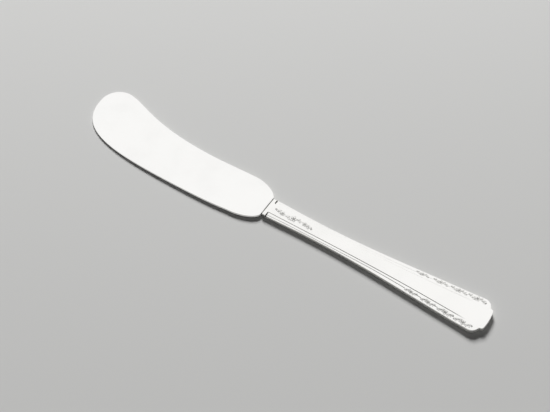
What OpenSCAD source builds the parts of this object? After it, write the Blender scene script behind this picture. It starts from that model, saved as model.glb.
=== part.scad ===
// Individual butter knife (butter spreader) with a paddle blade and a flat two-shell handle.
// The blade's tang runs through a plain collar into the handle. Two struck shells meet on a
// seam plane around it, and a hard filler holds the tang inside them.
// The knife lies on its back: the decorated front of the handle is up and the back is at Z = 0.
// X runs from the blade tip to the handle end, Y across the knife, Z is up.
// Origin: middle of the knife's length and width, on the surface it lies on.

/* [Blade] */
// Length of the blade from its tip to the heel edge
blade_len = 75.35; // [55:0.05:110]
// Drop of the spreading edge below the centreline
belly_drop = 9.1; // [7.5:0.1:12]
// Rise of the rounded tip above the centreline
tip_rise = 15.5; // [12:0.1:19]
// Height of the foremost point of the tip above the centreline
tip_level = 8.6; // [6:0.1:10]
// Rise of the back at its hollow
hollow_rise = 8.05; // [7:0.05:9.5]
// Rise of the back at the shoulder
shoulder_rise = 8.45; // [7:0.05:10]
// Drop of the spreading edge at the shoulder
shoulder_drop = 8.25; // [7:0.05:12]
// Width of the flat heel edge that seats on the collar
heel_w = 6.2; // [5.6:0.1:6.6]
// Thickness of the blade at the heel
heel_t = 1.25; // [1.2:0.05:1.4]
// Thickness of the blade at the tip
tip_t = 0.8; // [0.6:0.05:1.1]
// How much thinner the spreading edge is than the back
edge_taper = 0.3; // [0:0.05:0.4]
// Crown of the upper face
blade_crown = 0.08; // [0.02:0.01:0.15]
// Inset of the rounded rim
rim_r = 0.3; // [0.1:0.05:0.5]

/* [Tang] */
// Length of the tang behind the heel edge
tang_len = 46; // [25:1:55]
// Width of the tang at the heel
tang_w = 4.4; // [3.6:0.1:4.8]
// Width of the tang at its end
tang_end_w = 3; // [2.4:0.1:3.4]
// Thickness of the tang
tang_t = 0.62; // [0.5:0.01:0.66]
// Radius of the keying notches in the edges of the tang
notch_r = 0.6; // [0.3:0.05:0.8]
// Distance between the keying notches
notch_pitch = 12; // [8:0.5:16]
// Clearance around the tang
fit_gap = 0.03; // [0.01:0.01:0.04]

/* [Collar] */
// Length of the collar along the knife
collar_len = 1.6; // [1:0.1:3]
// Chamfer on the ends of the collar
collar_chamfer = 0.16; // [0.05:0.01:0.25]
// Corner radius of the collar's section
collar_r = 0.4; // [0.2:0.05:0.5]

/* [Handle] */
// Length of the handle behind the collar
handle_len = 78.05; // [68:0.05:110]
// Width of the handle at the neck
neck_w = 7.4; // [7:0.1:9]
// Width of the handle at its waist
waist_w = 6.7; // [6.6:0.05:7.6]
// Width of the handle across the lobes at its end
end_w = 12.7; // [11.6:0.1:15]
// Thickness of the handle at the neck
neck_t = 1.65; // [1.6:0.05:2]
// Thickness of the handle at the end
end_t = 1.85; // [1.8:0.05:2.4]
// Height of the seam between the two shells
seam_z = 0.8; // [0.6:0.05:0.85]
// Thickness of the back shell's floor
back_wall = 0.45; // [0.35:0.01:0.5]
// Thickness of the shells' side walls
side_wall = 0.55; // [0.4:0.05:0.7]
// Rounding of the front edge
front_edge_r = 0.22; // [0.1:0.02:0.24]
// Rounding of the back edge
back_edge_r = 0.35; // [0.1:0.05:0.4]

/* [Handle end] */
// Distance of the lobes' crests from the handle end
lobe_back = 4.1; // [3.8:0.1:5]
// Radius of the lobes
lobe_r = 2.6; // [2:0.1:3]
// Width of the tongue
tongue_w = 8; // [7:0.1:8.4]
// Length of the tongue behind the notches
tongue_len = 1.35; // [1.25:0.05:1.5]
// Step at the notches
notch_step = 0.13; // [0.05:0.01:0.3]
// Radius of the tongue's corners
tongue_r = 0.9; // [0.6:0.05:0.95]
// Bow of the tongue's end
end_bow = 0.25; // [0.1:0.05:0.35]

/* [Relief] */
// Width of the flat panel at the neck
panel_neck_w = 3.8; // [3.4:0.1:4.2]
// Width of the flat panel near the end
panel_end_w = 6.9; // [6:0.1:7.4]
// Distance between the outer lines at the neck
outer_neck_w = 6.3; // [6:0.05:6.5]
// Distance between the outer lines at the waist
outer_waist_w = 5.88; // [5.5:0.02:5.9]
// Distance between the outer lines near the end
outer_end_w = 10.2; // [9.4:0.1:10.6]
// Width of each struck line
line_w = 0.22; // [0.1:0.01:0.24]
// Depth of the inner line, which is also the height of the panel's side
inner_line_depth = 0.17; // [0.12:0.01:0.2]
// Depth of the outer line below the panel
outer_line_depth = 0.24; // [0.21:0.01:0.28]
// Drop of the bead below the panel
bead_drop = 0.1; // [0.02:0.01:0.11]
// Drop of the outer strip below the panel
strip_drop = 0.19; // [0.12:0.01:0.2]
// Crown of the bead between the lines
bead_crown = 0.05; // [0.01:0.01:0.08]
// Distance from the handle end at which the relief has run out
relief_back = 3.2; // [3:0.1:5]
// Length over which the relief runs out
relief_fade = 6.5; // [4:0.5:10]

/* [Hidden] */
$fn = 48;
// Overrun that carries every cut and every root past the face it meets
overrun = 0.6;
total_len = blade_len + collar_len + handle_len;
mid_y = (tip_rise - belly_drop) / 2;
neck_x = blade_len + collar_len;
cavity_h = tang_t + 2 * fit_gap;
cavity_top = back_wall + cavity_h;
tang_z = back_wall + fit_gap;

// Places along the blade as shares of its length
belly_at_share = 0.605;
peak_at_share = 0.091;
hollow_at_share = 0.663;
shoulder_at_share = 0.872;
// Lengths of the curve handles as shares of the blade's length
tip_down_share = 0.215;
belly_front_share = 0.368;
belly_rear_share = 0.2;
tip_up_share = 0.053;
peak_front_share = 0.045;
peak_rear_share = 0.095;
hollow_front_share = 0.376;
hollow_rear_share = 0.05;
shoulder_front_share = 0.05;
shoulder_rear_share = 0.047;
heel_rise_share = 0.044;
// Steps along each curve; the lower and the upper side have as many in all
lower_steps = [22, 10, 12];
upper_steps = [10, 16, 6, 12];

// Places and curve handles of the handle's side as shares of its length
waist_at_share = 0.24;
neck_hold_share = 0.077;
waist_front_share = 0.15;
waist_rear_share = 0.256;
lobe_hold_share = 0.231;
// How far the side has still to widen at the last curve handle, as a share of the widening
lobe_slope_share = 0.3;
neck_steps = 10;
side_steps = 26;
lobe_steps = 9;
lobe_sweep = 58;
corner_steps = 7;
corner_sweep = 84;
bow_steps = 4;
// Where the panel starts to widen, as a share of its length, and the power of the widening
panel_from_share = 0.25;
panel_power = 2.15;
// Where the outer lines start to flare, how far the flare runs, and how far the one at the neck does
outer_from_share = 0.42;
outer_run_share = 0.62;
neck_run_share = 0.1;
// Share of a line's width under its steeper wall
wall_share = 0.3;
// How far the innermost point of the relief draws back from the end, as a share of the lobe's distance
end_draw_share = 1.4;
// Where the blade's crown begins to flatten and where it ends, and its height at the first
crown_from_share = 0.5;
crown_to_share = 0.85;
crown_first_share = 0.75;

function mix(a, b, t) = a + (b - a) * t;
function clamp01(t) = min(1, max(0, t));
function smooth(t) = clamp01(t) * clamp01(t) * (3 - 2 * clamp01(t));
function flip(list) = [for (i = [len(list) - 1 : -1 : 0]) list[i]];
function unit2(v) = v / norm(v);

// Cubic curve through p[0] and p[3]
function curve_at(p, t) =
    let (a = mix(p[0], p[1], t), b = mix(p[1], p[2], t), c = mix(p[2], p[3], t))
    mix(mix(a, b, t), mix(b, c, t), t);
function curve(p, n) = [for (i = [1 : n]) curve_at(p, i / n)];

// Direction into the outline, which runs clockwise; its two ends lie on a cut across the knife
function inward(path, i) =
    i == 0 || i == len(path) - 1
    ? [0, -sign(path[i].y)]
    : let (d = unit2(path[i + 1] - path[i - 1])) [d.y, -d.x];
function inset(path, d) = [for (i = [0 : len(path) - 1]) path[i] + d * inward(path, i)];

// Closed skin over rings of equal length, from the one that is capped facing down
// to the one that is capped facing up; the rings' ends lie on a cut across the knife
module skin(rings) {
    m = len(rings[0]);
    last = len(rings) - 1;
    half = (m - 1) / 2;
    points = [for (ring = rings) for (p = ring) p];
    function id(k, i) = k * m + i;
    bands = [
        for (k = [0 : last - 1]) for (i = [0 : m - 2])
            each [[id(k, i), id(k, i + 1), id(k + 1, i + 1)], [id(k, i), id(k + 1, i + 1), id(k + 1, i)]]
    ];
    function cap(k) = [
        for (i = [0 : half - 1])
            each i == half - 1
                ? [[id(k, i), id(k, i + 1), id(k, i + 2)]]
                : [[id(k, i), id(k, i + 1), id(k, m - 2 - i)], [id(k, i), id(k, m - 2 - i), id(k, m - 1 - i)]]
    ];
    end_face = concat([for (k = [0 : last]) id(k, 0)], [for (k = [last : -1 : 0]) id(k, m - 1)]);
    polyhedron(points, concat(bands, cap(last), [for (f = cap(0)) flip(f)], [end_face]), convexity = 6);
}

// Blade outline: the lower side from the tip to the heel edge, then the upper side
tip_point = [0, tip_level];
belly_point = [belly_at_share * blade_len, -belly_drop];
low_shoulder = [shoulder_at_share * blade_len, -shoulder_drop];
low_heel = [blade_len, -heel_w / 2];
peak_point = [peak_at_share * blade_len, tip_rise];
hollow_point = [hollow_at_share * blade_len, hollow_rise];
high_shoulder = [shoulder_at_share * blade_len, shoulder_rise];
high_heel = [blade_len, heel_w / 2];
function along(share) = [share * blade_len, 0];
function across(share) = [0, share * blade_len];
low_lean = unit2(low_shoulder - belly_point);
function lean(v, share) = share * blade_len * v;
blade_low = concat(
    curve([tip_point, tip_point - across(tip_down_share), belly_point - along(belly_front_share), belly_point],
        lower_steps[0]),
    curve([belly_point, belly_point + along(belly_rear_share),
        low_shoulder - lean(low_lean, shoulder_front_share), low_shoulder], lower_steps[1]),
    curve([low_shoulder, low_shoulder + lean(low_lean, shoulder_rear_share),
        low_heel - across(heel_rise_share), low_heel], lower_steps[2])
);
blade_high = concat(
    curve([tip_point, tip_point + across(tip_up_share), peak_point - along(peak_front_share), peak_point],
        upper_steps[0]),
    curve([peak_point, peak_point + along(peak_rear_share), hollow_point - along(hollow_front_share),
        hollow_point], upper_steps[1]),
    curve([hollow_point, hollow_point + along(hollow_rear_share),
        high_shoulder - along(shoulder_front_share), high_shoulder], upper_steps[2]),
    curve([high_shoulder, high_shoulder + along(shoulder_rear_share), high_heel + across(heel_rise_share),
        high_heel], upper_steps[3])
);
blade_path = concat(flip(blade_low), [tip_point], blade_high);
blade_half = len(blade_low);

// Thickness tapers from the heel to the tip and from the back to the spreading edge
function blade_t(i) =
    let (m = len(blade_path) - 1)
    let (span = norm(blade_path[i] - blade_path[m - i]))
    let (side = i < blade_half ? -1 : 1)
    let (lean_over = side * clamp01(span / (tip_rise + belly_drop)) * edge_taper / 2)
    mix(tip_t, heel_t, blade_path[i].x / blade_len) + lean_over * (1 - blade_path[i].x / blade_len);

function blade_ring(d, share, crown_share) =
    let (path = inset(blade_path, d))
    [for (i = [0 : len(path) - 1]) [path[i].x, path[i].y, share * blade_t(i) + crown_share * blade_crown]];

// Rounded rim as quarter turns above and below mid-thickness, then the crowned upper face
rim_turns = [-90, -60, -30, 0, 30, 60, 90];
crown_w = heel_w / 2 - rim_r;
blade_rings = concat(
    [for (a = rim_turns) blade_ring(rim_r * (1 - cos(a)), (1 + sin(a)) / 2, 0)],
    [
        blade_ring(rim_r + crown_from_share * crown_w, 1, crown_first_share),
        blade_ring(rim_r + crown_to_share * crown_w, 1, 1)
    ]
);

// Tang outline with keying notches, grown all round by a clearance
module tang_shape(grow) {
    root = blade_len - overrun;
    tip = blade_len + tang_len + grow;
    end_r = tang_end_w / 4;
    difference() {
        polygon([
            [root, -tang_w / 2 - grow],
            [tip - end_r, -tang_end_w / 2 - grow],
            [tip, -tang_end_w / 2 - grow + end_r],
            [tip, tang_end_w / 2 + grow - end_r],
            [tip - end_r, tang_end_w / 2 + grow],
            [root, tang_w / 2 + grow]
        ]);
        for (k = [1, 2], side = [-1, 1]) {
            reach = collar_len + k * notch_pitch;
            half_w = mix(tang_w, tang_end_w, reach / tang_len) / 2;
            translate([blade_len + reach, side * half_w])
                circle(r = notch_r - grow);
        }
    }
}

// The collar's outer section
module collar_section() {
    r = collar_r;
    w = neck_w;
    union() {
        translate([-w / 2 + r, 0]) square([w - 2 * r, neck_t]);
        translate([-w / 2, r]) square([w, neck_t - 2 * r]);
        for (x = [-w / 2 + r, w / 2 - r], y = [r, neck_t - r])
            translate([x, y]) circle(r = r);
    }
}

// Handle outline from the upper neck corner round the end to the lower neck corner
lobe_x = handle_len - lobe_back;
widening = (end_w - waist_w) / 2;
waist_point = [waist_at_share * handle_len, waist_w / 2];
lobe_point = [lobe_x, end_w / 2];
side_curves = concat(
    [[0, neck_w / 2]],
    curve([[0, neck_w / 2], [neck_hold_share * handle_len, neck_w / 2],
        waist_point - [waist_front_share * handle_len, 0], waist_point], neck_steps),
    curve([waist_point, waist_point + [waist_rear_share * handle_len, 0],
        lobe_point - [lobe_hold_share * handle_len, lobe_slope_share * widening], lobe_point], side_steps)
);
lobe_arc = [
    for (k = [1 : lobe_steps]) let (a = 90 - lobe_sweep * k / lobe_steps)
        [lobe_x + lobe_r * cos(a), end_w / 2 - lobe_r + lobe_r * sin(a)]
];
corner_x = handle_len - end_bow - tongue_r;
corner_y = tongue_w / 2 - tongue_r;
corner_arc = [
    for (k = [0 : corner_steps]) let (a = 90 - corner_sweep * k / corner_steps)
        [corner_x + tongue_r * cos(a), corner_y + tongue_r * sin(a)]
];
corner_end = corner_arc[corner_steps];
end_curve = [
    for (k = [1 : bow_steps]) let (y = corner_end.y * (1 - k / bow_steps))
        [mix(handle_len, corner_end.x, pow(y / corner_end.y, 2)), y]
];
handle_high = concat(side_curves, lobe_arc, [[handle_len - tongue_len, tongue_w / 2 + notch_step]],
    corner_arc, end_curve);
handle_low = [for (i = [len(handle_high) - 2 : -1 : 0]) [handle_high[i].x, -handle_high[i].y]];
handle_path = concat(handle_high, handle_low);
handle_half = len(handle_high) - 1;
function handle_top(x) = mix(neck_t, end_t, x / handle_len);

// Half width of the panel, which widens ever faster towards the end
line_end_x = handle_len - relief_back - relief_fade / 2;
function widened(x) = max(0, (x / line_end_x - panel_from_share) / (1 - panel_from_share));
function panel_half(x) = mix(panel_neck_w, panel_end_w, pow(widened(x), panel_power)) / 2;
// Half width to the middle of the outer line, which is straight between the waist and its own flare
function outer_half(x) =
    let (flare = smooth((x / handle_len - outer_from_share) / outer_run_share))
    let (neck_flare = 1 - smooth(x / handle_len / neck_run_share))
    (mix(outer_waist_w, outer_end_w, flare) + (outer_neck_w - outer_waist_w) * neck_flare) / 2;
// Share of the relief that is left, which runs out before the handle end
function relief_left(x) = smooth((handle_len - relief_back - x) / relief_fade);

// Half width of a relief ring: edge of strip, outer line, bead edge, bead, bead edge, inner line, panel
function ring_half(x, which) =
    let (outer = outer_half(x) - line_w / 2)
    let (panel = panel_half(x))
    [
        outer + line_w,
        outer + line_w * wall_share,
        outer,
        (outer + panel + line_w) / 2,
        panel + line_w,
        panel + line_w * wall_share,
        panel
    ][which];
ring_drop = [strip_drop, outer_line_depth, bead_drop, bead_drop - bead_crown, bead_drop, inner_line_depth, 0];

// Past the crest of the lobe every ring keeps its share of the width and draws back from the end
crest = len(side_curves) - 1;
function high_index(i) = min(i, 2 * handle_half - i);
function ring_share(i, which) =
    let (p = handle_path[min(high_index(i), crest)])
    ring_half(p.x, which) / p.y;
function ring_draw(i) = end_draw_share * max(0, handle_path[high_index(i)].x - lobe_x);
function relief_ring(which) = [
    for (i = [0 : len(handle_path) - 1])
        let (p = handle_path[i])
        let (s = ring_share(i, which))
        let (x = p.x - (1 - s) * ring_draw(i))
        [x, p.y * s, handle_top(x) - ring_drop[which] * relief_left(x)]
];

// Flat ring at one height, and a ring that hangs below the top of the outer strip
function flat_ring(path, z) = [for (p = path) [p.x, p.y, z]];
function hung_ring(path, drop) =
    [for (p = path) [p.x, p.y, handle_top(p.x) - drop - strip_drop * relief_left(p.x)]];

// Room inside the shells
cavity_path = inset(handle_path, side_wall);
edge_turns = [0, 30, 60, 90];

// From the roof of the room inside, down to the seam, out, and up over the edge and the relief
front_rings = concat(
    [flat_ring(cavity_path, cavity_top), flat_ring(cavity_path, seam_z), flat_ring(handle_path, seam_z)],
    [for (a = edge_turns) hung_ring(inset(handle_path, front_edge_r * (1 - cos(a))), front_edge_r * (1 - sin(a)))],
    [for (which = [0 : len(ring_drop) - 1]) relief_ring(which)]
);
back_rings = concat(
    [for (a = flip(edge_turns)) flat_ring(inset(handle_path, back_edge_r * (1 - cos(a))), back_edge_r * (1 - sin(a)))],
    [flat_ring(handle_path, seam_z)]
);

// The room inside seen from above, carried past the neck
module cavity_shape(past_neck) {
    polygon(concat(
        [[-past_neck, cavity_path[0].y]],
        cavity_path,
        [[-past_neck, -cavity_path[0].y]]
    ));
}

// Moves the knife so that the origin is under the middle of its length and width
module placed() {
    translate([-total_len / 2, -mid_y, 0]) children();
}

// Paddle blade, forged in one with its tang
module blade() {
    color("gainsboro")
    placed() {
        skin(blade_rings);
        translate([0, 0, tang_z]) linear_extrude(tang_t) tang_shape(0);
    }
}

// The collar seen square on: from low to high, with the chamfer on the high side and on the low one
module chamfered_band(low, high, low_chamfer) {
    polygon([
        [low_chamfer, low],
        [collar_len - low_chamfer, low],
        [collar_len, low + low_chamfer],
        [collar_len, high - collar_chamfer],
        [collar_len - collar_chamfer, high],
        [collar_chamfer, high],
        [0, high - collar_chamfer],
        [0, low + low_chamfer]
    ]);
}

// Plain band between the heel and the handle, pierced for the tang
module neck_collar() {
    color("silver")
    placed()
    translate([blade_len, 0, 0])
    difference() {
        intersection() {
            rotate([90, 0, 90]) linear_extrude(collar_len) collar_section();
            rotate([90, 0, 0]) linear_extrude(2 * neck_w, center = true)
                chamfered_band(0, neck_t, 0);
            translate([0, 0, -overrun]) linear_extrude(neck_t + 2 * overrun)
                chamfered_band(-neck_w / 2, neck_w / 2, collar_chamfer);
        }
        translate([-overrun, -tang_w / 2 - fit_gap, tang_z - fit_gap])
            cube([collar_len + 2 * overrun, tang_w + 2 * fit_gap, tang_t + 2 * fit_gap]);
    }
}

// Struck front shell with its panel and reeded border
module handle_front() {
    color("gainsboro")
    placed() translate([neck_x, 0, 0]) skin(front_rings);
}

// Plain back shell, on whose flat underside the handle lies
module handle_back() {
    color("silver")
    placed() translate([neck_x, 0, 0])
    difference() {
        skin(back_rings);
        translate([0, 0, back_wall]) linear_extrude(seam_z) cavity_shape(overrun);
    }
}

// Hard filler that fills the shells around and behind the tang
module handle_filler() {
    color("dimgray")
    placed() translate([0, 0, back_wall]) linear_extrude(cavity_h)
    difference() {
        translate([neck_x, 0]) cavity_shape(0);
        tang_shape(fit_gap);
    }
}

blade();
neck_collar();
handle_front();
handle_back();
handle_filler();
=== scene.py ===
# Looks of an individual butter knife: silver skins, a struck border with small sprays, light and camera.
# Lengths are millimetres until a mesh is made. X runs from the blade tip to the handle end, Y across
# the knife, Z up through the decorated front. Places along the blade are counted from its tip, places
# along the handle from its neck, and both are counted across from the knife's centreline.
import math

import bmesh
import bpy
import numpy as np
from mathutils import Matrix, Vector


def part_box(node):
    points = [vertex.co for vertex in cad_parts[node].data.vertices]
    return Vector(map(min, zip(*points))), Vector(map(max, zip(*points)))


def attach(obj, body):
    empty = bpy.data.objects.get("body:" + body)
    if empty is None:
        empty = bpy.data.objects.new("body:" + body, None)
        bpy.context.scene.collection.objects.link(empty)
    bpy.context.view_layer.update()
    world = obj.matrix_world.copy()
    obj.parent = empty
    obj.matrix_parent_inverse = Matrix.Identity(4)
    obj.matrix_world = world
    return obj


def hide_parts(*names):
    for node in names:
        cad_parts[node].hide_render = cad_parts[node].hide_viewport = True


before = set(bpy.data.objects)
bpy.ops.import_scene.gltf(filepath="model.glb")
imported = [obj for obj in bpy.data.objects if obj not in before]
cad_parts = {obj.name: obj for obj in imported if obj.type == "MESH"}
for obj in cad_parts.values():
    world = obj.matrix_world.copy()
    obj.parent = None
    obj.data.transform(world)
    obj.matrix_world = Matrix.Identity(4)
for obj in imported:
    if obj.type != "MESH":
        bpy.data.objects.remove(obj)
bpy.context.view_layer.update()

MM = 0.001


def node_box(name):
    """Lowest and highest corner of a CAD node, in millimetres."""
    low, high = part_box(name)
    return np.array(low) / MM, np.array(high) / MM


blade_low, blade_high = node_box("blade")
collar_low, collar_high = node_box("neck_collar")
front_low, front_high = node_box("handle_front")
filler_low, filler_high = node_box("handle_filler")

TIP_X, HEEL_X, NECK_X, END_X = blade_low[0], collar_low[0], collar_high[0], front_high[0]
CENTRE_Y = (collar_low[1] + collar_high[1]) / 2
BLADE_LEN = HEEL_X - TIP_X
COLLAR_LEN = NECK_X - HEEL_X
HANDLE_LEN = END_X - NECK_X

# Blade: how far the parts of its outline lie beside the centreline, then its heel and its tip
BELLY_DROP = CENTRE_Y - blade_low[1]
TIP_RISE = blade_high[1] - CENTRE_Y
TIP_LEVEL = 8.6
HOLLOW_RISE = 8.05
SHOULDER_RISE = 8.45
SHOULDER_DROP = 8.25
HEEL_W, HEEL_T, TIP_T = 6.2, 1.25, 0.8
# How much thicker the back is than the spreading edge, and how high and how wide the upper face is crowned
EDGE_TAPER = 0.3
CROWN, CROWN_W = 0.08, 2.9
# The rounded rim, and the bevel of the heel line with how steeply its dark fades over it
RIM = 0.3
HEEL_BEVEL, HEEL_DARK = 0.32, 4.5
# Places and curve handles of the blade's outline as shares of its length
BELLY_SHARE, PEAK_SHARE, HOLLOW_SHARE, SHOULDER_SHARE = 0.605, 0.091, 0.663, 0.872
TIP_DOWN_SHARE, BELLY_FRONT_SHARE, BELLY_REAR_SHARE = 0.215, 0.368, 0.2
TIP_UP_SHARE, PEAK_FRONT_SHARE, PEAK_REAR_SHARE = 0.053, 0.045, 0.095
HOLLOW_FRONT_SHARE, HOLLOW_REAR_SHARE = 0.376, 0.05
SHOULDER_FRONT_SHARE, SHOULDER_REAR_SHARE, HEEL_RISE_SHARE = 0.05, 0.047, 0.044

# Tang, which lies in the filler with a gap all round
FIT_GAP = 0.03
TANG_LEN = blade_high[0] - HEEL_X
TANG_W, TANG_END_W = 4.4, 3.0
TANG_Z = filler_low[2] + FIT_GAP
TANG_T = filler_high[2] - filler_low[2] - 2 * FIT_GAP
NOTCH_R, NOTCH_PITCH = 0.6, 12.0

# Collar
NECK_W = collar_high[1] - collar_low[1]
NECK_T = collar_high[2]
COLLAR_R = 0.4
# The band's bevels at the heel line and at the joint behind it, how steeply their dark fades over them,
# and from which share of the band's height they are dark
HEEL_LINE_W, COLLAR_BEVEL = 0.24, 0.26
BEVEL_DARK = 4.0
DARK_FROM_SHARE = 1 / 3
# Where the dark joint behind the collar starts beside the panel, and the width over which it opens
TICK_FROM, TICK_RISE = 1.95, 0.35

# Handle outline, with a lobe at each side of its end and a tongue between two notches
WAIST_W = 6.7
END_W = front_high[1] - front_low[1]
LOBE_BACK, LOBE_R = 4.1, 2.6
TONGUE_W, TONGUE_LEN, TONGUE_R = 8.0, 1.35, 0.9
NOTCH_STEP, END_BOW = 0.13, 0.25
LOBE_SWEEP = math.radians(58)
CORNER_SWEEP = math.radians(84)
# Places and curve handles of the handle's side as shares of its length and of its flare
WAIST_SHARE, NECK_HOLD_SHARE, WAIST_FRONT_SHARE = 0.24, 0.077, 0.15
WAIST_REAR_SHARE, LOBE_HOLD_SHARE, LOBE_SLOPE_SHARE = 0.256, 0.231, 0.3

# Handle shells: their thickness at the end, seam, walls and edges
END_T = 1.85
SEAM_Z = front_low[2]
SEAM_BEVEL = 0.03
SIDE_WALL = 0.55
BACK_WALL = filler_low[2]
ROOF_Z = filler_high[2]
FRONT_EDGE_W, FRONT_EDGE_H = 0.13, 0.4
BACK_EDGE_R = 0.35
NECK_BEVEL = 0.21
# The sides are satin: tarnished enough to dull them, but hardly darker
SIDE_TARNISH = 0.28

# Border: widths of the panel and between the middles of the outer lines
PANEL_NECK_W, PANEL_END_W = 3.8, 6.9
OUTER_NECK_W, OUTER_WAIST_W, OUTER_END_W = 6.3, 5.88, 10.2
# Where these widths start to grow and how, along the handle
PANEL_FROM_SHARE, PANEL_POWER = 0.25, 2.15
OUTER_FROM_SHARE, OUTER_RUN_SHARE, NECK_RUN_SHARE = 0.42, 0.62, 0.1
# Drops below the panel, and where the relief runs out before the handle's end
BEAD_DROP, BEAD_CROWN, STRIP_DROP = 0.1, 0.05, 0.19
RELIEF_BACK, RELIEF_FADE = 3.2, 6.5
# How strongly the border's inner rings are drawn back from the handle's end
END_DRAW_SHARE = 1.4
# Struck lines: their width, their depths and the widths of their steep walls
LINE_W = 0.22
INNER_NECK_DEPTH, INNER_END_DEPTH, OUTER_LINE_DEPTH = 0.15, 0.165, 0.24
INNER_NECK_WALL, INNER_END_WALL, OUTER_WALL = 0.05, 0.13, 0.066
# Distance over which their edges are rounded, and its most as a share of the way to the next ring
EDGE_SOFTNESS, MOST_SOFTENED = 0.035, 0.45
# How dark the lines are, the distance in which that starts and the one over which it fades beside a wall
INNER_NECK_DARK, OUTER_NECK_DARK, OUTER_END_DARK = 0.85, 0.43, 0.74
LINE_CRISP = 0.03
INNER_NECK_FADE, INNER_END_FADE = 0.02, 0.03
OUTER_NECK_FADE, OUTER_END_FADE = 0.08, 0.2
# The outer line gets darker along this stretch of the handle
DARKER_FROM_SHARE, DARKER_RUN_SHARE = 0.3, 0.5
# The outer line runs out over this beside a spray, and both lines fade this far ahead of the relief
LINE_END, LINE_LEAD = 0.3, 2.0

# Sprays: four along each side of the border, just outside the outer line, and one behind the neck
SPRAY_COUNT, SPRAY_FIRST_X, SPRAY_PITCH = 4, 53.4, 6.1
SPRAY_FIRST_SIZE, SPRAY_LAST_SIZE = 0.78, 1.1
SPRAY_OUT = 0.1
NECK_SPRAY_X = 8.4
# Reach of a spray's stems to each side, and the radius of its flowers
BORDER_REACH, BORDER_HEART = 2.6, 0.8
NECK_REACH, NECK_HEART, NECK_SIDE_HEART = 6.9, 1.12, 0.8
# Leaves: share of the stem's reach, side of the stem and turn in radians
BORDER_LEAVES = ((0.4, 1, 0.5), (0.5, -1, 0.5), (0.72, 1, 0.35), (0.82, -1, 0.35))
NECK_LEAVES = ((0.22, 1, 0.5), (0.3, -1, 0.45), (0.75, 1, 0.4), (0.8, -1, 0.4), (0.9, 1, 0.3))
# Sizes in parts of the flower's radius
PETAL_OUT, PETAL_W, HEART, BUD = 0.6, 0.3, 0.18, 0.2
LEAF_LEN, LEAF_OUT, STEM_SWING = 0.5, 0.3, 0.35
# Half width of a leaf in parts of its half length, and the share of a stem's reach at which it starts
LEAF_W, STEM_FROM = 0.38, 0.2
PETALS, PETAL_TURN = 5, math.radians(18)
STEM_R, STEM_SWEEP = 0.06, math.radians(270)
MARK_RISE = 0.09
# How a petal widens outwards, the heights on a mark between which its dark foot fades, a stem's tarnish
PETAL_FLARE, PETAL_MID_W = 0.28, 0.78
FOOT_FROM, FOOT_TO = 0.1, 0.6
STEM_TARNISH = 0.2
# The ground beside a mark: how dark it is, how deep and how far it reaches
PETAL_SHADE, HEART_SHADE, LEAF_SHADE, STEM_SHADE = 0.65, 1.0, 0.68, 0.68
GROUND_DIP, GROUND_REACH = 0.05, 0.1

# Finishes: scales count the waves of a noise in a metre, and a range turns a noise or a tarnish into 0 to 1
BLADE_TONE, HANDLE_TONE, BACK_TONE = (0.945, 0.94, 0.925), (0.94, 0.932, 0.912), (0.93, 0.92, 0.9)
SULPHIDE = (0.075, 0.075, 0.06, 1)
# Hairlines: each direction in degrees with its scale across, and how many times longer than wide they are
HAIRLINES = ((8, 5200.0), (-31, 7400.0), (64, 6100.0))
HAIRLINE_STRETCH = 60
HAIRLINE_W, HAIRLINE_DEPTH, HAIRLINE_DULLING = 0.035, 0.05, 0.05
WEAR_SCALE, WEAR_FROM, WEAR_TO = 55.0, 0.35, 0.7
WAVE_SCALE, WAVE_HEIGHT = 160.0, 0.6
CLOUD_SCALE, CLOUD_FROM, CLOUD_TO, CLOUD_FILM = 90.0, 0.4, 0.75, 0.03
GRIME_SCALE, GRIME_LEAST, GRIME_MOST = 2400.0, 0.75, 1.15
TARNISH_FROM, TARNISH_TO, TARNISH_METALLIC = 0.25, 0.85, 0.55
SATIN_FROM, SATIN_TO, SATIN_ROUGHNESS = 0.05, 0.25, 0.65
CEMENT_DARK, CEMENT_LIGHT = (0.012, 0.01, 0.009, 1), (0.06, 0.05, 0.042, 1)
GRIT_SCALE, GRIT_FROM, GRIT_TO, GRIT_RISE = 2600.0, 0.35, 0.7, 0.05
CEMENT_LEAST_ROUGHNESS, CEMENT_MOST_ROUGHNESS = 0.55, 0.85

# Steps of the meshes
CURVE_STEPS, BLADE_STEPS, HEEL_STEPS, RIM_STEPS, TANG_NOTCH_STEPS = 400, 420, 12, 17, 9
BEVEL_STEPS, CORNER_STEPS, SECTION_STEPS = 7, 9, 80
LOBE_STEPS, NOTCH_SIDE_STEPS, TONGUE_SIDE_STEPS, TONGUE_STEPS, BOW_STEPS = 27, 9, 4, 19, 22
FRONT_EDGE_STEPS, BACK_EDGE_STEPS, BEAD_STEPS = 7, 9, 11
BLADE_COLUMNS, PANEL_COLUMNS, BACK_COLUMNS = 28, 44, 8
FINE_STEP, COARSE_STEP = 0.1, 0.5
WIDEST_RING_GAP, SMALLEST_GAP = 0.13, 1e-9
STEM_STEPS, STEM_SIDES = 25, 8
MARK_SIDES, MARK_RINGS = 10, 7
DISTANCE_CHUNKS = 40
CRISP_ANGLE, BORDER_CRISP_ANGLE = math.radians(32), math.radians(50)


def mix(a, b, t):
    return a + (b - a) * t


def smooth(t):
    t = np.clip(t, 0, 1)
    return t * t * (3 - 2 * t)


def curve(a, b, c, d):
    """Points of a cubic curve, without its first one."""
    t = np.linspace(0, 1, CURVE_STEPS + 1)[1:, None]
    a, b, c, d = (np.array(p, float) for p in (a, b, c, d))
    return (1 - t) ** 3 * a + 3 * t * (1 - t) ** 2 * b + 3 * t * t * (1 - t) * c + t**3 * d


def arc(centre, radius, start, sweep, steps):
    """Points of an arc that turns clockwise from an angle."""
    angles = start - np.linspace(0, sweep, steps)
    return np.column_stack([centre[0] + radius * np.cos(angles), centre[1] + radius * np.sin(angles)])


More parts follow.
